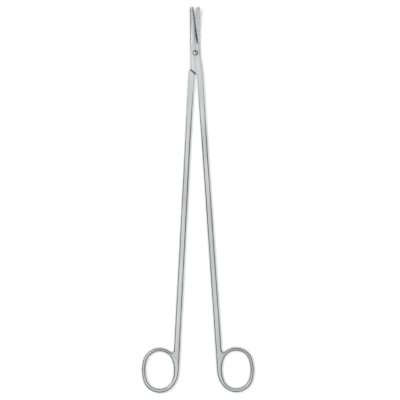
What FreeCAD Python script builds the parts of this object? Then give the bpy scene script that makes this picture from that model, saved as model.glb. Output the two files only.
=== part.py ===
import FreeCAD, Part
import math
import os

# Long surgical scissors with blades curved on the flat, lying on their back.
# Two forged halves lap at the joint and turn on a slotted shoulder screw.
# The pivot axis is Z through the origin, the back faces lie in z = 0,
# the tips point to +Y and the blades curve up towards the screw head.
# Each half is drawn closed, with its blade on the Y axis, then opened.

# Pose
half_open = 3.4  # degrees that each half is turned from closed

# Lap joint
joint_thickness = 3.0
lap_clearance = 0.04  # between the two lapped faces
lap_half_width = 3.38  # pivot to the line of the back edge
cut_half_width = 2.95  # and to the line of the cutting edge
shoulder_drop = 10.7  # from the pivot to the outer end of the shoulder
shoulder_angle = 43.5  # below the horizontal
shoulder_gap = 0.2  # left between the shoulders when closed
shoulder_corner = 0.35
lap_edge_round = 0.25
shank_top = 3.93  # outer edge where the shank has begun
flare_end = 13.4  # below the pivot
front_flare_start = 8.0  # screw side half, where the edge starts to widen
front_flare_round = 24.0
back_lap_inset = 0.6  # how far the hidden lap edge has leaned in at its shoulder
back_flare_round = 1.6

# Blades
blade_length = 31.4  # pivot to tip
blade_root = 4.6  # where the ground blade leaves the joint
flat_radius = 8.5  # the curve starts this far from the pivot
curve_radius = 81.0
root_thickness = 1.45
tip_thickness = 0.8
root_spine = 1.18  # height of the back of the blade, under the crown
tip_spine = 0.52
bevel_width = 0.55
bevel_height = 0.6
run_in = 5.5  # length over which the ground section leaves the joint's
edge_land = 0.06
tip_radius = 1.1
tip_offset = 0.4  # the nose lies this far to the side of the back edge
nose_round = 1.6  # length over which the tip thins
hollow_depth = 0.1
hollow_margin = 0.42  # left unground beside each edge

# Shanks
shank_gap = 0.3  # between the closed shanks
shank_outer = 4.3  # outer edge where the shank meets the ring
fade_start = 22.0  # below the pivot, where the edges start to round
fade_end = 60.0  # and where the rounding is full
handle_round = 1.15

# Finger rings
ring_drop = 218.2  # pivot to the middle of the finger opening
finger_width = 19.5
finger_height = 25.7
end_share = 0.944  # radius of the opening's ends, in half widths
ring_lean = 3.4  # degrees, upright when the scissors are open
band_top = 2.35
band_outer = 2.5
band_bottom = 2.75
band_shank = 3.4
crotch_round = 1.2

# Pivot screw
head_radius = 1.85
head_proud = 0.65
head_rim = 0.14  # straight rim above the joint surface
seat_depth = 0.5
seat_clearance = 0.05
shoulder_radius = 1.3
running_clearance = 0.03
end_play = 0.02
thread_radius = 1.05
thread_clearance = 0.02
end_recess = 0.05  # the screw's end lies this far inside the back face
slot_width = 0.6
slot_depth = 0.42
slot_angle = -50.0

cut_reach = 4 * joint_thickness  # cutting bodies reach this far past the metal
mid_level = joint_thickness / 2
tip_centre = blade_length - tip_radius
origin = FreeCAD.Vector(0, 0, 0)
up = FreeCAD.Vector(0, 0, 1)


def point(x, y, z=0.0):
    return FreeCAD.Vector(x, y, z)


def line(a, b):
    return Part.LineSegment(a, b).toShape()


def bezier(poles):
    curve = Part.BezierCurve()
    curve.setPoles(poles)
    return curve.toShape()


# Inward lean of a straight blade edge that runs on to touch the nose.
def lean_of(half_width, side):
    out = half_width + side * tip_offset
    return math.atan2(out, tip_centre) - math.asin(tip_radius / math.hypot(out, tip_centre))


def back_edge(y):
    return lap_half_width - math.tan(lean_of(lap_half_width, -1)) * y


def cut_edge(y):
    return cut_half_width - math.tan(lean_of(cut_half_width, 1)) * y


def rise(radius):
    run = max(radius - flat_radius, 0.0)
    return curve_radius - math.sqrt(curve_radius ** 2 - run ** 2)


def slab(corners, bottom, top):
    face = Part.Face(Part.makePolygon(corners + corners[:1]))
    face.translate(point(0, 0, bottom))
    return face.extrude(point(0, 0, top - bottom))


# The inner faces are one surface of revolution about the pivot, so the
# cutting edges keep touching distance at every angle. Its curve is short chords.
def below_inner_face(bend):
    level = mid_level + lap_clearance / 2
    floor = -cut_reach
    reach = blade_length + cut_reach
    run = blade_length - flat_radius
    radii = [flat_radius + run * share / 12 for share in range(13)] + [reach]
    rim = [point(radius, 0, level + bend * rise(radius)) for radius in radii]
    corners = [point(0, 0, floor), point(0, 0, level)] + rim + [point(reach, 0, floor)]
    return Part.Face(Part.makePolygon(corners + corners[:1])).revolve(origin, up, 360)


def shoulder_outer():
    return point(back_edge(-shoulder_drop), -shoulder_drop)


def shoulder_inner():
    outer = shoulder_outer()
    fall = (outer.x + shank_gap / 2) * math.tan(math.radians(shoulder_angle))
    return point(shank_gap / 2, outer.y - fall)


# Everything on the blade side of the shoulder is halved in thickness.
def halving_cut(bend):
    slope = math.tan(math.radians(shoulder_angle))
    shift = shoulder_gap / math.cos(math.radians(shoulder_angle))
    outer = shoulder_outer()
    side = outer.x + blade_length
    low = outer.y - shift - slope * (outer.x + side)
    high = outer.y - shift + slope * (side - outer.x)
    top = high + blade_length + cut_reach
    corners = [point(-side, low), point(side, high), point(side, top), point(-side, top)]
    return slab(corners, -cut_reach, cut_reach).common(below_inner_face(bend))


# Blade section across Y: back wall, broken back edge, crown, bevel and land.
# It has the joint's own thickness at the root and is ground away from there.
def blade_section(y, bend):
    share = (y - blade_root) / (blade_length - blade_root)
    half = (back_edge(y) + cut_edge(y)) / 2
    inner = mid_level + bend * rise(y)
    nose = max(y - blade_length + nose_round, 0.0) / nose_round
    thin = 1.0 - 0.5 * nose ** 2
    gone = min(max((y - blade_root) / run_in, 0.0), 1.0)
    ease = gone * gone * (3.0 - 2.0 * gone)
    crown = (root_thickness + (tip_thickness - root_thickness) * share) * thin
    crown = mid_level + (crown - mid_level) * ease
    spine = (root_spine + (tip_spine - root_spine) * share) * thin
    spine = mid_level + (spine - mid_level) * ease
    taper = half / lap_half_width
    width = lap_edge_round + (bevel_width * taper - lap_edge_round) * ease
    shoulder = spine + (bevel_height * min(1.0, crown) - spine) * ease
    land = spine - width + (edge_land - spine + width) * ease
    overlap = half * 0.25
    back = lap_edge_round * taper
    slope = (shoulder - land) / width
    back_foot = point(-back_edge(y) - overlap, y, inner + spine - back - overlap)
    back_top = point(-back_edge(y) + back, y, inner + spine)
    bevel_top = point(cut_edge(y) - width, y, inner + shoulder)
    bevel_foot = point(cut_edge(y) + overlap, y, inner + land - slope * overlap)
    peak = 2.0 * (inner + crown) - (back_top.z + bevel_top.z) / 2
    floor = inner - cut_reach / 2
    left_foot = point(back_foot.x, y, floor)
    right_foot = point(bevel_foot.x, y, floor)
    edges = [
        line(left_foot, back_foot),
        line(back_foot, back_top),
        bezier([back_top, point(cut_edge(y) - 1.2 * half, y, peak), bevel_top]),
        line(bevel_top, bevel_foot),
        line(bevel_foot, right_foot),
        line(right_foot, left_foot),
    ]
    return Part.Wire(edges)


def nose_point(turn, side):
    across = side * tip_radius * math.cos(turn) - tip_offset
    return point(across, tip_centre + tip_radius * math.sin(turn))


def blade_plan():
    near_root = point(-back_edge(blade_root), blade_root)
    far_root = point(cut_edge(blade_root), blade_root)
    near_touch = nose_point(lean_of(lap_half_width, -1), -1)
    far_touch = nose_point(lean_of(cut_half_width, 1), 1)
    nose = Part.Arc(far_touch, point(-tip_offset, blade_length), near_touch)
    edges = [
        line(near_root, far_root),
        line(far_root, far_touch),
        nose.toShape(),
        line(near_touch, near_root),
    ]
    return Part.Wire(edges)


def make_blade(bend):
    last = blade_length + nose_round * 0.3
    run = blade_length - nose_round - blade_root
    stations = [blade_root + run * share for share in (-0.03, 0.03, 0.07, 0.11, 0.15, 0.2, 0.28, 0.37)]
    stations += [blade_root + run * share for share in (0.46, 0.55, 0.64, 0.73, 0.82, 0.91, 1.0)]
    stations += [blade_length - nose_round * share for share in (0.6, 0.25)] + [last]
    body = Part.makeLoft([blade_section(y, bend) for y in stations], True, True)
    plan = Part.Face(blade_plan())
    plan.translate(point(0, 0, -cut_reach))
    return body.common(plan.extrude(point(0, 0, 2 * cut_reach)))


# Shallow hollow grinding of the inner face, fading out before both ends.
def hollow_section(y, depth, bend):
    level = mid_level + lap_clearance / 2
    near = hollow_margin - back_edge(y)
    far = cut_edge(y) - hollow_margin
    left = point(near, y, level + bend * rise(math.hypot(near, y)))
    right = point(far, y, level + bend * rise(math.hypot(far, y)))
    middle = level + bend * rise(y) + depth
    low = middle - hollow_depth - hollow_margin
    left_foot = point(near, y, low)
    right_foot = point(far, y, low)
    edges = [
        line(left_foot, left),
        bezier([left, point((near + far) / 2, y, 2 * middle - (left.z + right.z) / 2), right]),
        line(right, right_foot),
        line(right_foot, left_foot),
    ]
    return Part.Wire(edges)


# An oval of four arcs: two equal ends and a rounder or flatter arc each side.
# Angles turn from the outer side of the ring through its top.
class Oval:
    def __init__(self, shift, outer_half, shank_half, half_height, end_radius):
        self.end_radius = end_radius
        self.end_offset = half_height - end_radius
        self.shift = shift
        self.outer_radius = self.side_radius(outer_half, half_height)
        self.shank_radius = self.side_radius(shank_half, half_height)
        self.outer_centre = outer_half - self.outer_radius
        self.shank_centre = self.shank_radius - shank_half
        self.outer_turn = math.atan2(self.end_offset, -self.outer_centre)
        self.shank_turn = math.atan2(self.end_offset, self.shank_centre)

    def side_radius(self, half_width, half_height):
        squares = half_width ** 2 + half_height ** 2
        return (squares - 2 * half_height * self.end_radius) / (2 * (half_width - self.end_radius))

    def outer_side(self):
        return arc(self.outer_centre, self.shift, self.outer_radius, -self.outer_turn, self.outer_turn)

    def top(self, stop=None):
        last = math.pi - self.shank_turn if stop is None else stop
        return arc(0, self.shift + self.end_offset, self.end_radius, self.outer_turn, last)

    def shank_side(self, first=None, last=None):
        a = math.pi - self.shank_turn if first is None else first
        b = math.pi + self.shank_turn if last is None else last
        return arc(self.shank_centre, self.shift, self.shank_radius, a, b)

    def bottom(self):
        a = math.pi + self.shank_turn
        b = 2 * math.pi - self.outer_turn
        return arc(0, self.shift - self.end_offset, self.end_radius, a, b)


def finger_opening():
    half = finger_width / 2
    return Oval(0, half, half, finger_height / 2, half * end_share)


def ring_outside():
    half = finger_width / 2
    ends = (band_top + band_bottom) / 2
    shift = (band_top - band_bottom) / 2
    height = finger_height / 2 + ends
    return Oval(shift, half + band_outer, half + band_shank, height, half * end_share + ends)


# From the middle of the finger opening, along its leaning axes.
def leaned(x, y):
    lean = math.radians(ring_lean)
    across = x * math.cos(lean) + y * math.sin(lean)
    along = y * math.cos(lean) - x * math.sin(lean)
    return point(across, along)


# The shank runs straight into the ring, so their inner sides are one line.
def ring_middle():
    outside = ring_outside()
    reach = outside.shank_radius - leaned(outside.shank_centre, outside.shift).x
    return point(shank_gap / 2 + reach, -ring_drop)


def on_arc(x, y, radius, turn):
    return ring_middle() + leaned(x + radius * math.cos(turn), y + radius * math.sin(turn))


def arc(x, y, radius, first, last):
    spots = [on_arc(x, y, radius, turn) for turn in (first, (first + last) / 2, last)]
    return Part.Arc(*spots).toShape()


# The outer edge of the shank is a straight line down to the ring.
def shank_line():
    start = point(shank_top, -flare_end)
    end = point(shank_outer, finger_height / 2 - ring_drop)
    return start, (end - start).normalize()


# Centre of the rounded crotch between the shank and an arc of the ring,
# and the angle at which it touches the arc.
def crotch_centre(x, y, radius):
    start, ahead = shank_line()
    centre = ring_middle() + leaned(x, y)
    offset = start + point(-ahead.y, ahead.x) * crotch_round - centre
    along = ahead.dot(offset)
    run = math.sqrt(along ** 2 - offset.dot(offset) + (radius + crotch_round) ** 2)
    spread = offset - ahead * (along + run)
    return centre + spread, math.atan2(spread.y, spread.x) + math.radians(ring_lean)


def ring_edges():
    outside = ring_outside()
    touch = math.pi + math.radians(ring_lean)
    edges = [
        outside.shank_side(touch),
        outside.bottom(),
        outside.outer_side(),
    ]
    bend, stop = crotch_centre(outside.shank_centre, outside.shift, outside.shank_radius)
    if stop > math.pi - outside.shank_turn:
        edges.append(outside.top())
        edges.append(outside.shank_side(last=stop))
    else:
        bend, stop = crotch_centre(0, outside.shift + outside.end_offset, outside.end_radius)
        edges.append(outside.top(stop))
    ahead = shank_line()[1]
    ring_end = edges[-1].valueAt(edges[-1].LastParameter)
    shank_end = bend - point(-ahead.y, ahead.x) * crotch_round
    inside = ((ring_end - bend) + (shank_end - bend)).normalize() * crotch_round
    edges.append(Part.Arc(ring_end, bend + inside, shank_end).toShape())
    return edges


# Straight runs joined by tangent arcs.
def rounded_path(points, radii):
    edges = []
    start = points[0]
    for before, corner, after, radius in zip(points, points[1:], points[2:], radii):
        back = (before - corner).normalize()
        ahead = (after - corner).normalize()
        half = math.acos(max(-1.0, min(1.0, back.dot(ahead)))) / 2
        middle = (back + ahead).normalize()
        run = radius / math.tan(half)
        near = corner + back * run
        far = corner + ahead * run
        inside = corner + middle * (radius / math.sin(half) - radius)
        edges.append(line(start, near))
        edges.append(Part.Arc(near, inside, far).toShape())
        start = far
    edges.append(line(start, points[-1]))
    return edges


# Outer edge of a half from the shank up to the blade. On the screw side it
# widens slowly; on the thread side it leans in, hidden under the lap when
# the scissors are open, and widens at its shoulder.
def front_lap_edge():
    spots = [shank_line()[0], point(lap_half_width, -front_flare_start)]
    return spots, [front_flare_round, front_flare_round]


def back_lap_edge():
    hidden = point(lap_half_width - back_lap_inset, -shoulder_drop)
    return [shank_line()[0], hidden], [back_flare_round, back_flare_round]


def part_way(a, b, drop):
    return a + (b - a) * ((-drop - a.y) / (b.y - a.y))


# Plan of a whole half without its blade, as seen from the screw side.
def half_face(lap_edge):
    spots, radii = lap_edge
    ring = ring_edges()
    touch = ring[0].valueAt(ring[0].FirstParameter)
    crotch = ring[-1].valueAt(ring[-1].LastParameter)
    root = point(cut_edge(blade_root), blade_root)
    back_root = point(-back_edge(blade_root), blade_root)
    inner = shoulder_inner()
    outer = shoulder_outer()
    start = part_way(spots[0], crotch, fade_start)
    full = part_way(spots[0], crotch, fade_end)
    edges = ring + [line(crotch, full), line(full, start)]
    edges += rounded_path([start] + spots + [root], radii)
    edges += [
        line(root, back_root),
        line(back_root, point(-outer.x, outer.y)),
        line(point(-outer.x, outer.y), inner),
        line(inner, part_way(inner, touch, fade_start)),
        line(part_way(inner, touch, fade_start), part_way(inner, touch, fade_end)),
        line(part_way(inner, touch, fade_end), touch),
    ]
    opening = finger_opening()
    hole = [opening.outer_side(), opening.top(), opening.shank_side(), opening.bottom()]
    return Part.Face(Part.Wire(edges)).cut(Part.Face(Part.Wire(hole)))


def upright_edge(solid, spot):
    upright = [e for e in solid.Edges if abs(e.tangentAt(e.FirstParameter).z) > 0.99]
    return min(upright, key=lambda e: math.hypot(e.CenterOfMass.x - spot.x, e.CenterOfMass.y - spot.y))


# Slight at the joint, growing down the shank, full on the ring.
def rounding_at(spot):
    drop = min(max(-spot.y, fade_start), fade_end)
    share = (drop - fade_start) / (fade_end - fade_start)
    return lap_edge_round + (handle_round - lap_edge_round) * share


# Outside of a rounded edge, across it, as chords of a quarter turn.
def edge_profile(spot, inward, face_level, outward, radius):
    clear = outward * radius
    corners = [(radius, clear), (-radius, clear), (-radius, -clear)]
    for turn in (90.0, 67.5, 45.0, 22.5, 0.0):
        angle = math.radians(turn)
        inset = radius * (1 - math.sin(angle))
        drop = radius * (1 - math.cos(angle))
        corners.append((inset, -outward * drop))
    spots = [spot + inward * inset + up * (face_level + drop) for inset, drop in corners]
    return Part.makePolygon(spots + spots[:1])


# Tool that rounds one top or bottom edge of the upright outline.
def edge_tool(edge, face, level, outward):
    first = edge.FirstParameter
    last = edge.LastParameter
    near = edge.valueAt(first)
    far = edge.valueAt(last)
    middle = edge.valueAt((first + last) / 2)
    bowed = isinstance(edge.Curve, Part.Circle)
    across = (middle - edge.Curve.Center).normalize() if bowed else up.cross(far - near).normalize()
    side = 1 if face.isInside(middle + across * 0.02, 1e-4, True) else -1
    if bowed:
        inward = (near - edge.Curve.Center).normalize() * side
        profile = Part.Face(edge_profile(near, inward, level, outward, rounding_at(near)))
        return profile.revolve(edge.Curve.Center, edge.Curve.Axis, math.degrees(last - first))
    inward = across * side
    profiles = [edge_profile(spot, inward, level, outward, rounding_at(spot)) for spot in (near, far)]
    return Part.makeLoft(profiles, True, True)


def round_outline(solid):
    floor = [f for f in solid.Faces if abs(f.CenterOfMass.z) < 1e-6][0]
    tools = []
    for edge in floor.Edges:
        if abs(edge.CenterOfMass.y - blade_root) > 1e-6:
            tools.append(edge_tool(edge, floor, 0.0, -1))
            tools.append(edge_tool(edge, floor, joint_thickness, 1))
    return solid.cut(tools)


def make_handle(lap_edge):
    solid = half_face(lap_edge).extrude(point(0, 0, joint_thickness))
    outer = shoulder_outer()
    solid = solid.makeFillet(shoulder_corner, [upright_edge(solid, point(-outer.x, outer.y))])
    solid = solid.makeFillet(shoulder_corner, [upright_edge(solid, shoulder_inner())])
    return round_outline(solid)


def hollow_tool(bend):
    run = blade_length - blade_root
    shares = (0.02, 0.12, 0.3, 0.55, 0.8, 0.95)
    depths = (-0.3, 0.5, 1.0, 1.0, 0.6, -0.3)
    sections = []
    for share, depth in zip(shares, depths):
        sections.append(hollow_section(blade_root + run * share, hollow_depth * depth, bend))
    return Part.makeLoft(sections, True, True)


def disc(radius, bottom, top):
    return Part.makeCylinder(radius, top - bottom, point(0, 0, bottom), up)


def make_half(lap_edge, bend):
    body = make_handle(lap_edge).Solids[0].fuse(make_blade(bend))
    body = body.cut(halving_cut(bend))
    return body.cut(hollow_tool(bend))


# The screw head sits in a seat; its shoulder turns in the bore below.
def make_front_half():
    half = make_half(front_lap_edge(), 1)
    half = half.cut(disc(shoulder_radius + running_clearance, 0, cut_reach))
    seat = disc(head_radius + seat_clearance, joint_thickness - seat_depth, cut_reach)
    half = half.cut(seat)
    half.rotate(origin, up, half_open)
    return half


# The same forging turned over, with the threaded bore.
def make_back_half():
    half = make_half(back_lap_edge(), -1)
    half = half.cut(disc(thread_radius + thread_clearance, -cut_reach, cut_reach))
    half.rotate(point(0, 0, mid_level), point(0, 1, 0), 180)
    half.rotate(origin, up, -half_open)
    return half


# Shoulder screw with a low domed head, its end flush with the back.
def make_screw():
    seat = joint_thickness - seat_depth + end_play
    ledge = mid_level - lap_clearance / 2
    rim = joint_thickness + head_rim
    crown = joint_thickness + head_proud
    sag = crown - rim
    dome_radius = (head_radius ** 2 + sag ** 2) / (2 * sag)
    half_way = head_radius / 2
    dome = point(half_way, 0, crown - dome_radius + math.sqrt(dome_radius ** 2 - half_way ** 2))
    edges = [
        line(point(0, 0, end_recess), point(thread_radius, 0, end_recess)),
        line(point(thread_radius, 0, end_recess), point(thread_radius, 0, ledge)),
        line(point(thread_radius, 0, ledge), point(shoulder_radius, 0, ledge)),
        line(point(shoulder_radius, 0, ledge), point(shoulder_radius, 0, seat)),
        line(point(shoulder_radius, 0, seat), point(head_radius, 0, seat)),
        line(point(head_radius, 0, seat), point(head_radius, 0, rim)),
        Part.Arc(point(head_radius, 0, rim), dome, point(0, 0, crown)).toShape(),
        line(point(0, 0, crown), point(0, 0, end_recess)),
    ]
    screw = Part.Face(Part.Wire(edges)).revolve(origin, up, 360)
    reach = head_radius + cut_reach
    corner = point(-reach, -slot_width / 2, crown - slot_depth)
    slot = Part.makeBox(2 * reach, slot_width, cut_reach, corner)
    slot.rotate(origin, up, slot_angle)
    return screw.cut(slot)


os.makedirs("parts", exist_ok=True)
make_front_half().exportStep("parts/front_half.step")
make_back_half().exportStep("parts/back_half.step")
make_screw().exportStep("parts/pivot_screw.step")
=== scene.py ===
import math

import bmesh
import bpy
from mathutils import Matrix, Vector


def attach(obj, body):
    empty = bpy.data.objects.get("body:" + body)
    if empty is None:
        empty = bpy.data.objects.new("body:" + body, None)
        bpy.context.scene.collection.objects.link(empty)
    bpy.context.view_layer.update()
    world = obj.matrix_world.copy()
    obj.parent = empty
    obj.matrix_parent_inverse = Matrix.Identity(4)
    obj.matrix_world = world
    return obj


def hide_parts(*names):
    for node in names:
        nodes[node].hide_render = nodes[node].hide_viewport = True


# Long surgical scissors, a little open, lying flat and seen from straight above.
# Objects are in metres. The sizes of the halves and the screw, and values whose names end
# in Mm, are in millimetres. The pivot axis is Z through the origin, the tips point to +Y,
# and the blades curve up, towards whoever looks down on the screw head.

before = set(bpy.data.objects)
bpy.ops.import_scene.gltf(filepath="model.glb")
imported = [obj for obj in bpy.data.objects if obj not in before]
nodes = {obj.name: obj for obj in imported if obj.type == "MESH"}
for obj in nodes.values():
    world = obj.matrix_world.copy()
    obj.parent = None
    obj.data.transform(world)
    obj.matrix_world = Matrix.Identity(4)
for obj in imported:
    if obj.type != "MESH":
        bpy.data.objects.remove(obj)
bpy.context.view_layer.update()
mm = 0.001
perMm = 1 / mm
noiseRange = {"From Min": 0.3, "From Max": 0.7}  # where nearly all of a noise's values lie


def linearFrom(hexText):  # sRGB hex to the linear colour that the shaders want
    parts = [int(hexText[i:i + 2], 16) / 255 for i in (0, 2, 4)]
    return tuple(c / 12.92 if c <= 0.04045 else ((c + 0.055) / 1.055) ** 2.4 for c in parts) + (1.0,)


def addNode(tree, kind, sockets=None, **settings):  # a socket gets a number, a colour or a link
    node = tree.nodes.new(kind)
    for name, value in settings.items():
        setattr(node, name, value)
    for name, value in (sockets or {}).items():
        if isinstance(value, bpy.types.NodeSocket):
            tree.links.new(value, node.inputs[name])
        else:
            node.inputs[name].default_value = value
    return node


# view: straight down through a long lens

view = {
    "pixelMm": 0.685,             # what one pixel covers at the height given below
    "pivotPixel": (195.4, 53.0),
    "turnDegrees": 0.45,          # the handles lean this much to the right
    "lensMm": 135.0,
    "sensorMm": 36.0,
    "framePixels": 400,
    "focusHeightMm": 2.0,         # above the table
}

frameWidth = view["framePixels"] * view["pixelMm"] * mm
middlePixel = view["framePixels"] / 2
distance = frameWidth * view["lensMm"] / view["sensorMm"]
roll = math.radians(view["turnDegrees"])
pictureRight = Vector((math.cos(roll), -math.sin(roll), 0))
pictureUp = Vector((math.sin(roll), math.cos(roll), 0))
pivotRight = (view["pivotPixel"][0] - middlePixel) * view["pixelMm"] * mm
pivotUp = (middlePixel - view["pivotPixel"][1]) * view["pixelMm"] * mm
aim = -(pictureRight * pivotRight + pictureUp * pivotUp)

cameraData = bpy.data.cameras.new("camera")
cameraData.lens = view["lensMm"]
cameraData.sensor_width = view["sensorMm"]
cameraData.clip_start = 0.01
camera = bpy.data.objects.new("camera", cameraData)
standing = Matrix.Translation(aim + Vector((0, 0, distance + view["focusHeightMm"] * mm)))
camera.matrix_world = standing @ Matrix.Rotation(-roll, 4, "Z")
bpy.context.collection.objects.link(camera)
bpy.context.scene.camera = camera
print("camera set")


# steel finishes

satin = {
    "light": "C6C8C8",
    "dark": "A6A8A9",
    "flatRoughness": 0.34,
    "rimRoughness": 0.2,
    "lineMm": 0.3,                # real belt lines are about 0.05 mm apart, drawn coarser to show
    "lineRunMm": 14.0,
    "lineDepthMm": 0.02,
    "lineStrength": 0.35,
    "passMm": 2.2,                # one pass of the belt
    "passRunMm": 60.0,
    "smudgeMm": 22.0,
    "ringCentreMm": (26.2, -217.0),
    "ringReachMm": (14.8, 18.0),  # the lines bend round the rings inside this
    "ringWalk": (12.0, 0.36),     # how far round the ring the grain pattern moves
    "rimLean": (0.6, 0.92),       # upright share of the normal, from rim to flat
    "roughSpread": 0.14,
    "mixShare": 0.6,              # of the fine lines and of the smudges in the tone
    "mixRange": (0.8, 1.4),
}


# AISI 420 stainless, belt brushed: a calm grey sheen broken into fine streaks that follow
# the shank and bend round the rings, with the rounded rims buffed brighter and sharper
def satinStainless():
    material = bpy.data.materials.new("satinStainless420")
    material.use_nodes = True
    tree = material.node_tree
    shader = tree.nodes["Principled BSDF"]
    shader.inputs["Metallic"].default_value = 1.0
    spot = addNode(tree, "ShaderNodeTexCoord").outputs["Object"]
    place = addNode(tree, "ShaderNodeMapping", {"Vector": spot, "Scale": (perMm, perMm, perMm)}).outputs["Vector"]

    # grain: straight along the shank, round and round on the rings
    split = addNode(tree, "ShaderNodeSeparateXYZ", {"Vector": place})
    side = addNode(tree, "ShaderNodeMath", {0: split.outputs["X"]}, operation="ABSOLUTE")
    ringX, ringY = satin["ringCentreMm"]
    across = addNode(tree, "ShaderNodeMath", {0: side.outputs[0], 1: ringX}, operation="SUBTRACT")
    along = addNode(tree, "ShaderNodeMath", {0: split.outputs["Y"], 1: ringY}, operation="SUBTRACT")
    arm = addNode(tree, "ShaderNodeCombineXYZ", {"X": across.outputs[0], "Y": along.outputs[0]})
    reach = addNode(tree, "ShaderNodeVectorMath", {0: arm.outputs[0]}, operation="LENGTH").outputs["Value"]
    heading = addNode(tree, "ShaderNodeVectorMath", {0: arm.outputs[0]}, operation="NORMALIZE").outputs[0]
    walkScale = satin["ringWalk"] + (0,)
    walk = addNode(tree, "ShaderNodeVectorMath", {0: heading, 1: walkScale}, operation="MULTIPLY").outputs[0]
    walk = addNode(tree, "ShaderNodeSeparateXYZ", {"Vector": walk}).outputs
    circling = addNode(tree, "ShaderNodeCombineXYZ", {"X": reach, "Y": walk["X"], "Z": walk["Y"]})
    near, far = satin["ringReachMm"]
    onShank = addNode(tree, "ShaderNodeMapRange", {"Value": reach, "From Min": near, "From Max": far})
    courses = {0: onShank.outputs[0], 4: circling.outputs[0], 5: place}
    grain = addNode(tree, "ShaderNodeMix", courses, data_type="VECTOR").outputs[1]

    lineScale = (1 / satin["lineMm"], 1 / satin["lineRunMm"], 1 / satin["lineMm"])
    stretched = addNode(tree, "ShaderNodeMapping", {"Vector": grain, "Scale": lineScale}).outputs["Vector"]
    streaks = addNode(tree, "ShaderNodeTexNoise", {
        "Vector": stretched, "Scale": 1.0, "Detail": 4.0, "Roughness": 0.65,
    }).outputs["Fac"]
    passScale = (1 / satin["passMm"], 1 / satin["passRunMm"], 1 / satin["passMm"])
    stretched = addNode(tree, "ShaderNodeMapping", {"Vector": grain, "Scale": passScale}).outputs["Vector"]
    passes = addNode(tree, "ShaderNodeTexNoise", {"Vector": stretched, "Scale": 1.0, "Detail": 2.0}).outputs["Fac"]
    smudges = addNode(tree, "ShaderNodeTexNoise", {
        "Vector": place, "Scale": 1 / satin["smudgeMm"], "Detail": 2.0,
    }).outputs["Fac"]

    # roughness: satin on the flats, buffed on the rims
    normal = addNode(tree, "ShaderNodeNewGeometry").outputs["Normal"]
    lean = addNode(tree, "ShaderNodeSeparateXYZ", {"Vector": normal})
    level = addNode(tree, "ShaderNodeMath", {0: lean.outputs["Z"]}, operation="ABSOLUTE")
    rim, flatFrom = satin["rimLean"]
    flat = addNode(tree, "ShaderNodeMapRange", {"Value": level.outputs[0], "From Min": rim, "From Max": flatFrom})
    rough = addNode(tree, "ShaderNodeMapRange", {
        "Value": flat.outputs[0], "To Min": satin["rimRoughness"], "To Max": satin["flatRoughness"],
    })
    spread = satin["roughSpread"]
    uneven = addNode(tree, "ShaderNodeMath", {0: streaks, 1: spread, 2: -spread / 2}, operation="MULTIPLY_ADD")
    total = addNode(tree, "ShaderNodeMath", {0: rough.outputs[0], 1: uneven.outputs[0]}, operation="ADD")

    share = satin["mixShare"]
    mixed = addNode(tree, "ShaderNodeMath", {0: streaks, 1: share, 2: passes}, operation="MULTIPLY_ADD")
    mixed = addNode(tree, "ShaderNodeMath", {0: smudges, 1: share, 2: mixed.outputs[0]}, operation="MULTIPLY_ADD")
    low, high = satin["mixRange"]
    shade = addNode(tree, "ShaderNodeMapRange", {"Value": mixed.outputs[0], "From Min": low, "From Max": high})
    colours = {0: shade.outputs[0], 6: linearFrom(satin["dark"]), 7: linearFrom(satin["light"])}
    tone = addNode(tree, "ShaderNodeMix", colours, data_type="RGBA")
    bump = addNode(tree, "ShaderNodeBump", {
        "Height": streaks, "Strength": satin["lineStrength"], "Distance": satin["lineDepthMm"] * mm,
    })
    tree.links.new(tone.outputs[2], shader.inputs["Base Color"])
    tree.links.new(total.outputs[0], shader.inputs["Roughness"])
    tree.links.new(bump.outputs["Normal"], shader.inputs["Normal"])
    return material


ground = {
    "light": "BCBEBF",
    "dark": "96989A",
    "roughness": (0.2, 0.3),
    "lineMm": 0.16,               # real wheel lines are about 0.03 mm apart, drawn coarser to show
    "lineRunMm": 7.0,
    "lineDepthMm": 0.012,
    "lineStrength": 0.3,
    "lineDegrees": 8.0,
}


# The same steel, wheel ground across the blade: brighter than the satin, with a tight
# crosswise grain that pulls highlights along the edge
def groundStainless():
    material = bpy.data.materials.new("groundStainless420")
    material.use_nodes = True
    tree = material.node_tree
    shader = tree.nodes["Principled BSDF"]
    shader.inputs["Metallic"].default_value = 1.0
    spot = addNode(tree, "ShaderNodeTexCoord").outputs["Object"]
    lineScale = (perMm / ground["lineRunMm"], perMm / ground["lineMm"], perMm / ground["lineRunMm"])
    lineTurn = (0, 0, math.radians(ground["lineDegrees"]))
    stretched = addNode(tree, "ShaderNodeMapping", {"Vector": spot, "Scale": lineScale, "Rotation": lineTurn})
    lines = addNode(tree, "ShaderNodeTexNoise", {
        "Vector": stretched.outputs["Vector"], "Scale": 1.0, "Detail": 3.0, "Roughness": 0.6,
    }).outputs["Fac"]
    smooth, coarse = ground["roughness"]
    rough = addNode(tree, "ShaderNodeMapRange", {"Value": lines, "To Min": smooth, "To Max": coarse, **noiseRange})
    shade = addNode(tree, "ShaderNodeMapRange", {"Value": lines, **noiseRange})
    colours = {0: shade.outputs[0], 6: linearFrom(ground["dark"]), 7: linearFrom(ground["light"])}
    tone = addNode(tree, "ShaderNodeMix", colours, data_type="RGBA")
    bump = addNode(tree, "ShaderNodeBump", {
        "Height": lines, "Strength": ground["lineStrength"], "Distance": ground["lineDepthMm"] * mm,
    })
    tree.links.new(tone.outputs[2], shader.inputs["Base Color"])
    tree.links.new(rough.outputs[0], shader.inputs["Roughness"])
    tree.links.new(bump.outputs["Normal"], shader.inputs["Normal"])
    return material


# milled steel tones, kept dark as painted shade for the slot and the lap behind the shoulder
milledAndShade = {
    "light": "7E8081",
    "dark": "5A5C5D",
    "roughness": (0.38, 0.52),
    "markMm": 0.35,               # real cutter marks are about 0.1 mm apart, drawn coarser to show
    "markDepthMm": 0.02,
    "markStrength": 0.4,
}
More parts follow.
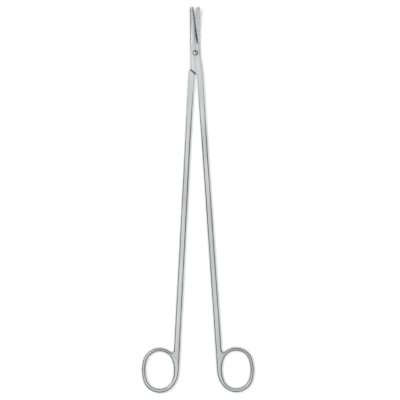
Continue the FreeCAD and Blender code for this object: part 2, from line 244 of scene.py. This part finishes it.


# The same steel where the wheel can't reach, in the screw slot and on the lap behind the
# shoulder: left as the cutter made it, so it is duller, and its colour is darkened as painted shade in these
# recesses
def milledAndShadedStainless():
    material = bpy.data.materials.new("milledAndShadedStainless420")
    material.use_nodes = True
    tree = material.node_tree
    shader = tree.nodes["Principled BSDF"]
    shader.inputs["Metallic"].default_value = 1.0
    spot = addNode(tree, "ShaderNodeTexCoord").outputs["Object"]
    marks = addNode(tree, "ShaderNodeTexNoise", {
        "Vector": spot, "Scale": perMm / milledAndShade["markMm"], "Detail": 3.0,
    }).outputs["Fac"]
    smooth, coarse = milledAndShade["roughness"]
    rough = addNode(tree, "ShaderNodeMapRange", {"Value": marks, "To Min": smooth, "To Max": coarse, **noiseRange})
    # the darker tone is painted shade for the recesses this steel is put in
    colours = {0: marks, 6: linearFrom(milledAndShade["dark"]), 7: linearFrom(milledAndShade["light"])}
    tone = addNode(tree, "ShaderNodeMix", colours, data_type="RGBA")
    bump = addNode(tree, "ShaderNodeBump", {
        "Height": marks, "Strength": milledAndShade["markStrength"], "Distance": milledAndShade["markDepthMm"] * mm,
    })
    tree.links.new(tone.outputs[2], shader.inputs["Base Color"])
    tree.links.new(rough.outputs[0], shader.inputs["Roughness"])
    tree.links.new(bump.outputs["Normal"], shader.inputs["Normal"])
    return material


turned = {
    "light": "CCCDCC",
    "dark": "A4A6A7",
    "roughness": (0.14, 0.24),
    "lineMm": 0.11,               # real feed marks are about 0.04 mm apart, drawn coarser to show
    "lineDepthMm": 0.01,
    "lineStrength": 0.25,
}


# AISI 420 bar, turned and polished: fine rings round the axis that fan the highlight
def turnedStainless():
    material = bpy.data.materials.new("turnedStainless420")
    material.use_nodes = True
    tree = material.node_tree
    shader = tree.nodes["Principled BSDF"]
    shader.inputs["Metallic"].default_value = 1.0
    spot = addNode(tree, "ShaderNodeTexCoord").outputs["Object"]
    flatSpot = addNode(tree, "ShaderNodeVectorMath", {0: spot, 1: (1, 1, 0)}, operation="MULTIPLY")
    radius = addNode(tree, "ShaderNodeVectorMath", {0: flatSpot.outputs[0]}, operation="LENGTH").outputs["Value"]
    feed = {"W": radius, "Scale": perMm / turned["lineMm"], "Detail": 2.0}
    rings = addNode(tree, "ShaderNodeTexNoise", feed, noise_dimensions="1D").outputs["Fac"]
    smooth, coarse = turned["roughness"]
    rough = addNode(tree, "ShaderNodeMapRange", {"Value": rings, "To Min": smooth, "To Max": coarse, **noiseRange})
    colours = {0: rings, 6: linearFrom(turned["dark"]), 7: linearFrom(turned["light"])}
    tone = addNode(tree, "ShaderNodeMix", colours, data_type="RGBA")
    bump = addNode(tree, "ShaderNodeBump", {
        "Height": rings, "Strength": turned["lineStrength"], "Distance": turned["lineDepthMm"] * mm,
    })
    tree.links.new(tone.outputs[2], shader.inputs["Base Color"])
    tree.links.new(rough.outputs[0], shader.inputs["Roughness"])
    tree.links.new(bump.outputs["Normal"], shader.inputs["Normal"])
    return material


satinSteel = satinStainless()
groundSteel = groundStainless()
milledAndShadedSteel = milledAndShadedStainless()
turnedSteel = turnedStainless()
print("steel finishes made")


# the two forged halves

halves = {
    "midLevel": 1.5,              # height of the plane where they meet, mm
    "curveStart": 8.5,            # the blades start to rise this far from the pivot, mm
    "curveRadius": 81.0,
    "shoulder": (-24.0, -10.0),   # along the length
    "grindEnd": -5.0,             # the wheel runs from the tip past the pivot to here
    "bladeRoot": 6.0,
    "inwardLimit": -0.7,          # a lap face's normal points this far inwards, or further
    "metReach": 0.3,              # and the face lies this near to where the halves meet, mm
    "bevelLimits": (0.3, 0.15),   # least sideways and outward share of a ground bevel's normal
    "shoulderLimit": 0.4,         # least share along the length of the shoulder face's normal
    "mergeMm": 0.001,
    "sharpDegrees": 32.0,         # edges steeper than this stay crisp
}


def metAt(spot):  # height of the surface where the halves meet, mm
    bend = halves["curveRadius"]
    run = max(math.hypot(spot.x, spot.y) - halves["curveStart"], 0.0)
    return halves["midLevel"] + bend - math.sqrt(bend ** 2 - run ** 2)


# Which finish a face gets: 0 satin, 1 ground, 2 milled and darkened as painted shade. outward is 1 on the half
# under the screw head and -1 on the other
def finishOf(face, outward):
    middle = face.calc_center_median() / mm
    low, high = halves["shoulder"]
    if middle.y < low:
        return 0
    inward = face.normal.z * outward < halves["inwardLimit"]
    if inward and abs(middle.z - metAt(middle)) < halves["metReach"]:
        return 1 if middle.y > halves["grindEnd"] else 2
    leastSide, leastUp = halves["bevelLimits"]
    bevel = face.normal.x * outward > leastSide and face.normal.z * outward > leastUp
    if middle.y > halves["bladeRoot"] and bevel:
        return 1
    return 2 if middle.y < high and face.normal.y > halves["shoulderLimit"] else 0


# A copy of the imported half, its points merged and its rounded edges shaded smooth
def finishedHalf(nodeName, pieceName, outward):
    work = bmesh.new()
    work.from_mesh(nodes[nodeName].data)
    bmesh.ops.remove_doubles(work, verts=work.verts, dist=halves["mergeMm"] * mm)
    everything = work.verts[:] + work.edges[:] + work.faces[:]
    grindLine = (0, halves["grindEnd"] * mm, 0)
    bmesh.ops.bisect_plane(work, geom=everything, plane_co=grindLine, plane_no=(0, 1, 0))
    for face in work.faces:
        face.smooth = True
        face.material_index = finishOf(face, outward)
    mesh = bpy.data.meshes.new(pieceName)
    for steel in (satinSteel, groundSteel, milledAndShadedSteel):
        mesh.materials.append(steel)
    work.to_mesh(mesh)
    work.free()
    for name in ("custom_normal", "sharp_edge"):
        if name in mesh.attributes:
            mesh.attributes.remove(mesh.attributes[name])
    mesh.set_sharp_from_angle(angle=math.radians(halves["sharpDegrees"]))
    holder = bpy.data.objects.new(pieceName + "Work", mesh)
    bpy.context.collection.objects.link(holder)
    even = holder.modifiers.new("flatsStayFlat", "WEIGHTED_NORMAL")
    even.mode = "FACE_AREA"
    even.weight = 50
    even.keep_sharp = True
    piece = plainCopy(holder, pieceName)
    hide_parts(nodeName)
    return piece


def plainCopy(holder, pieceName):  # what the modifiers make, as an ordinary mesh
    bpy.context.view_layer.update()
    seen = holder.evaluated_get(bpy.context.evaluated_depsgraph_get())
    mesh = bpy.data.meshes.new_from_object(seen)
    mesh.name = pieceName
    bpy.data.objects.remove(holder)
    piece = bpy.data.objects.new(pieceName, mesh)
    bpy.context.collection.objects.link(piece)
    return piece


screwSideHalf = finishedHalf("front_half", "screwSideHalf", 1)
threadSideHalf = finishedHalf("back_half", "threadSideHalf", -1)
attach(screwSideHalf, "turning_half")
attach(threadSideHalf, "screwed_half")
print("halves finished")


# the pivot screw, turned in Geometry Nodes

screw = {
    "headRadius": 1.85,
    "rimHeight": 3.14,            # where the dome ends
    "crownHeight": 3.65,
    "seatHeight": 2.52,
    "shoulderRadius": 1.3,
    "ledgeHeight": 1.48,
    "threadRadius": 1.05,
    "endHeight": 0.05,
    "endBreak": 0.12,
    "slotWidth": 0.6,
    "slotDepth": 0.42,
}
screwTurn = {
    "slotDegrees": -50.0,
    "around": 96,
    "domeRows": 9,
    "mergeMm": 0.0005,
    "slackMm": 0.01,              # a slot face is told by its place, give or take this
    "levelLimit": 0.99,           # least upward share of the slot floor's normal
    "uprightLimit": 0.1,          # most upward share of a slot wall's normal
}


# A grid is bent round the axis: its columns go round, its rows run from the crown over the
# dome and down the shank. Then a square blade cuts the slot
def screwTree():
    tree = bpy.data.node_groups.new("turnedScrew", "GeometryNodeTree")
    tree.interface.new_socket("Geometry", in_out="OUTPUT", socket_type="NodeSocketGeometry")
    sockets = {}
    for name, size in list(screw.items()) + [("slotTurn", 0.0)]:
        socket = tree.interface.new_socket(name, in_out="INPUT", socket_type="NodeSocketFloat")
        socket.default_value = size * mm
        sockets[name] = socket.identifier
    given = addNode(tree, "NodeGroupInput").outputs
    known = {name: given[name] for name in sockets}

    rows = screwTurn["domeRows"]
    below = [  # radius and height of the rows under the dome, None is the axis
        ("headRadius", "seatHeight"),
        ("shoulderRadius", "seatHeight"),
        ("shoulderRadius", "ledgeHeight"),
        ("threadRadius", "ledgeHeight"),
        ("threadRadius", "breakHeight"),
        ("breakRadius", "endHeight"),
        (None, "endHeight"),
    ]
    last = rows + len(below)
    grid = addNode(tree, "GeometryNodeMeshGrid", {
        "Size X": 1.0, "Size Y": 1.0, "Vertices X": screwTurn["around"] + 1, "Vertices Y": last + 1,
    })
    gridPlace = addNode(tree, "GeometryNodeInputPosition").outputs[0]
    spot = addNode(tree, "ShaderNodeSeparateXYZ", {"Vector": gridPlace})
    known["column"] = spot.outputs["X"]
    known["row"] = spot.outputs["Y"]

    sums = [  # name, operation, first, second
        ("breakHeight", "ADD", "endHeight", "endBreak"),
        ("breakRadius", "SUBTRACT", "threadRadius", "endBreak"),
        ("columnShare", "ADD", "column", 0.5),
        ("turn", "MULTIPLY", "columnShare", 2 * math.pi),
        ("rowShare", "ADD", "row", 0.5),
        ("rowPlace", "MULTIPLY", "rowShare", last),
        ("station", "ROUND", "rowPlace", 0.0),
        ("sag", "SUBTRACT", "crownHeight", "rimHeight"),
        ("sagSquare", "MULTIPLY", "sag", "sag"),
        ("headSquare", "MULTIPLY", "headRadius", "headRadius"),
        ("squares", "ADD", "headSquare", "sagSquare"),
        ("twoSags", "ADD", "sag", "sag"),
        ("domeRadius", "DIVIDE", "squares", "twoSags"),
        ("domeShare", "DIVIDE", "station", rows),
        ("domeReach", "MULTIPLY", "domeShare", "headRadius"),
        ("domeSquare", "MULTIPLY", "domeRadius", "domeRadius"),
        ("reachSquare", "MULTIPLY", "domeReach", "domeReach"),
        ("fallSquare", "SUBTRACT", "domeSquare", "reachSquare"),
        ("fallKept", "MAXIMUM", "fallSquare", 0.0),
        ("fall", "SQRT", "fallKept", 0.0),
        ("domeCentre", "SUBTRACT", "crownHeight", "domeRadius"),
        ("domeHeight", "ADD", "domeCentre", "fall"),
        ("past", "SUBTRACT", "station", rows + 1),
        ("onShank", "GREATER_THAN", "station", rows + 0.5),
        ("cosine", "COSINE", "turn", 0.0),
        ("sine", "SINE", "turn", 0.0),
        ("slotLength", "MULTIPLY", "headRadius", 4.0),
        ("slotHeight", "MULTIPLY", "slotDepth", 2.0),
    ]
    for name, operation, first, second in sums:
        parts = {0: known.get(first, first), 1: known.get(second, second)}
        known[name] = addNode(tree, "ShaderNodeMath", parts, operation=operation).outputs[0]

    choosers = []
    for column in (0, 1):
        chooser = addNode(tree, "GeometryNodeIndexSwitch", {"Index": known["past"]}, data_type="FLOAT")
        while len(chooser.index_switch_items) < len(below):
            chooser.index_switch_items.new()
        for number, names in enumerate(below):
            if names[column]:
                tree.links.new(known[names[column]], chooser.inputs[number + 1])
        choosers.append(chooser.outputs[0])
    radii = {0: known["onShank"], 2: known["domeReach"], 3: choosers[0]}
    radius = addNode(tree, "ShaderNodeMix", radii, data_type="FLOAT").outputs[0]
    heights = {0: known["onShank"], 2: known["domeHeight"], 3: choosers[1]}
    height = addNode(tree, "ShaderNodeMix", heights, data_type="FLOAT").outputs[0]
    x = addNode(tree, "ShaderNodeMath", {0: radius, 1: known["cosine"]}, operation="MULTIPLY").outputs[0]
    y = addNode(tree, "ShaderNodeMath", {0: radius, 1: known["sine"]}, operation="MULTIPLY").outputs[0]
    placed = addNode(tree, "ShaderNodeCombineXYZ", {"X": x, "Y": y, "Z": height})
    bent = addNode(tree, "GeometryNodeSetPosition", {
        "Geometry": grid.outputs["Mesh"], "Position": placed.outputs[0],
    })
    closed = addNode(tree, "GeometryNodeMergeByDistance", {
        "Geometry": bent.outputs[0], "Distance": screwTurn["mergeMm"] * mm,
    })

    bladeSize = addNode(tree, "ShaderNodeCombineXYZ", {
        "X": known["slotLength"], "Y": known["slotWidth"], "Z": known["slotHeight"],
    })
    blade = addNode(tree, "GeometryNodeMeshCube", {"Size": bladeSize.outputs[0]})
    lift = addNode(tree, "ShaderNodeCombineXYZ", {"Z": known["crownHeight"]}).outputs[0]
    slotTurn = addNode(tree, "ShaderNodeCombineXYZ", {"Z": known["slotTurn"]}).outputs[0]
    slot = addNode(tree, "GeometryNodeTransform", {
        "Geometry": blade.outputs["Mesh"], "Translation": lift, "Rotation": slotTurn,
    })
    pair = {"Mesh 1": closed.outputs[0], "Mesh 2": slot.outputs[0]}
    cut = addNode(tree, "GeometryNodeMeshBoolean", pair, operation="DIFFERENCE", solver="EXACT")
    real = addNode(tree, "GeometryNodeRealizeInstances", {"Geometry": cut.outputs["Mesh"]})
    painted = addNode(tree, "GeometryNodeSetMaterial", {"Geometry": real.outputs[0], "Material": turnedSteel})
    addNode(tree, "NodeGroupOutput", {0: painted.outputs[0]})
    return tree, sockets


latheTree, latheSockets = screwTree()
blank = bpy.data.objects.new("pivotScrewWork", bpy.data.meshes.new("pivotScrewWork"))
bpy.context.collection.objects.link(blank)
lathe = blank.modifiers.new("lathe", "NODES")
lathe.node_group = latheTree
for name, size in screw.items():
    lathe[latheSockets[name]] = size * mm
slotTurn = math.radians(screwTurn["slotDegrees"])
lathe[latheSockets["slotTurn"]] = slotTurn
pivotScrew = plainCopy(blank, "pivotScrew")
pivotScrew.data.materials.clear()
for steel in (turnedSteel, milledAndShadedSteel):
    pivotScrew.data.materials.append(steel)
slotFloor = screw["crownHeight"] - screw["slotDepth"]
slotSide = Vector((-math.sin(slotTurn), math.cos(slotTurn), 0))
slack = screwTurn["slackMm"]
work = bmesh.new()
work.from_mesh(pivotScrew.data)
bmesh.ops.remove_doubles(work, verts=work.verts, dist=screwTurn["mergeMm"] * mm)
bmesh.ops.recalc_face_normals(work, faces=work.faces)
# slot faces take the milled steel, whose darker colour is painted shade in the slot
for face in work.faces:
    face.smooth = True
    middle = face.calc_center_median() / mm
    inSlot = abs(middle.dot(slotSide)) < screw["slotWidth"] / 2 + slack
    onFloor = face.normal.z > screwTurn["levelLimit"] and abs(middle.z - slotFloor) < slack
    onWall = abs(face.normal.z) < screwTurn["uprightLimit"] and middle.z > slotFloor
    face.material_index = 1 if inSlot and (onFloor or onWall) else 0
work.to_mesh(pivotScrew.data)
work.free()
pivotScrew.data.set_sharp_from_angle(angle=math.radians(halves["sharpDegrees"]))
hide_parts("pivot_screw")
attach(pivotScrew, "screwed_half")
print("screw turned:", len(pivotScrew.data.polygons), "faces")


# table and light

studio = {
    "floorColour": "EDEDEB",
    "floorLift": 1.62,            # what the camera and the reflections see of it
    "skyTop": 0.7,
    "skyEdge": 0.03,
    "skyFade": (0.58, 0.82),      # height on the sky, 0 is the horizon and 1 straight up
    "darkSide": (0.8, -0.6, 0),   # the light comes from the upper left
    "sideRange": (-0.8, 0.8),     # the light fades between these, along that direction
    "sideStrength": (1.2, 0.7),
    "tableReach": 6.0,
    "lampAim": (0, -0.1, 0),
    "overheadPlace": (0, -0.1, 1.7),
    "overheadSize": 2.0,
    "overheadPower": 8.6,
    "sidePlace": (-0.8, 0.35, 1.3),
    "sideSize": 0.6,
    "sidePower": 2.4,
}

floorMesh = bpy.data.meshes.new("table")
reach = studio["tableReach"]
corners = [(-reach, -reach, 0), (reach, -reach, 0), (reach, reach, 0), (-reach, reach, 0)]
floorMesh.from_pydata(corners, [], [(0, 1, 2, 3)])
floor = bpy.data.objects.new("table", floorMesh)
bpy.context.collection.objects.link(floor)


# Matt white paper: blank white to the eye and in the steel, and it keeps the soft shadow
def whitePaper():
    material = bpy.data.materials.new("whitePaper")
    material.use_nodes = True
    tree = material.node_tree
    tree.nodes.clear()
    path = addNode(tree, "ShaderNodeLightPath").outputs
    seen = addNode(tree, "ShaderNodeMath", {0: path["Is Camera Ray"], 1: path["Is Glossy Ray"]}, operation="ADD")
    rays = {0: seen.outputs[0], 1: path["Is Transmission Ray"]}
    seen = addNode(tree, "ShaderNodeMath", rays, operation="ADD", use_clamp=True)
    lift = studio["floorLift"]
    colours = {0: seen.outputs[0], 6: linearFrom(studio["floorColour"]), 7: (lift, lift, lift, 1)}
    tone = addNode(tree, "ShaderNodeMix", colours, data_type="RGBA")
    diffuse = addNode(tree, "ShaderNodeBsdfDiffuse", {"Color": tone.outputs[2]})
    addNode(tree, "ShaderNodeOutputMaterial", {"Surface": diffuse.outputs[0]})
    return material


floorMesh.materials.append(whitePaper())

world = bpy.data.worlds.new("studio")
world.use_nodes = True
bpy.context.scene.world = world
tree = world.node_tree
tree.nodes.clear()
direction = addNode(tree, "ShaderNodeTexCoord").outputs["Generated"]
height = addNode(tree, "ShaderNodeSeparateXYZ", {"Vector": direction})
fadeLow, fadeHigh = studio["skyFade"]
glow = addNode(tree, "ShaderNodeMapRange", {
    "Value": height.outputs["Z"], "From Min": fadeLow, "From Max": fadeHigh,
    "To Min": studio["skyEdge"], "To Max": studio["skyTop"],
})
pair = {0: direction, 1: studio["darkSide"]}
toDarkSide = addNode(tree, "ShaderNodeVectorMath", pair, operation="DOT_PRODUCT").outputs["Value"]
lightEnd, darkEnd = studio["sideRange"]
lightSide, darkSide = studio["sideStrength"]
slant = addNode(tree, "ShaderNodeMapRange", {
    "Value": toDarkSide, "From Min": lightEnd, "From Max": darkEnd, "To Min": lightSide, "To Max": darkSide,
})
slanted = addNode(tree, "ShaderNodeMath", {0: glow.outputs[0], 1: slant.outputs[0]}, operation="MULTIPLY")
straight = addNode(tree, "ShaderNodeLightPath").outputs["Is Camera Ray"]
sky = addNode(tree, "ShaderNodeMix", {0: straight, 2: slanted.outputs[0], 3: 1.0}, data_type="FLOAT")
background = addNode(tree, "ShaderNodeBackground", {"Color": (1, 1, 1, 1), "Strength": sky.outputs[0]})
addNode(tree, "ShaderNodeOutputWorld", {"Surface": background.outputs[0]})


def softBox(name, place, size, power):
    data = bpy.data.lights.new(name, "AREA")
    data.shape = "SQUARE"
    data.size = size
    data.energy = power
    lamp = bpy.data.objects.new(name, data)
    lamp.location = place
    towards = Vector(studio["lampAim"]) - Vector(place)
    lamp.rotation_euler = towards.to_track_quat("-Z", "Y").to_euler()
    bpy.context.collection.objects.link(lamp)


softBox("overhead", studio["overheadPlace"], studio["overheadSize"], studio["overheadPower"])
softBox("side", studio["sidePlace"], studio["sideSize"], studio["sidePower"])
bpy.context.scene.view_settings.view_transform = "Standard"
print("table and light set")
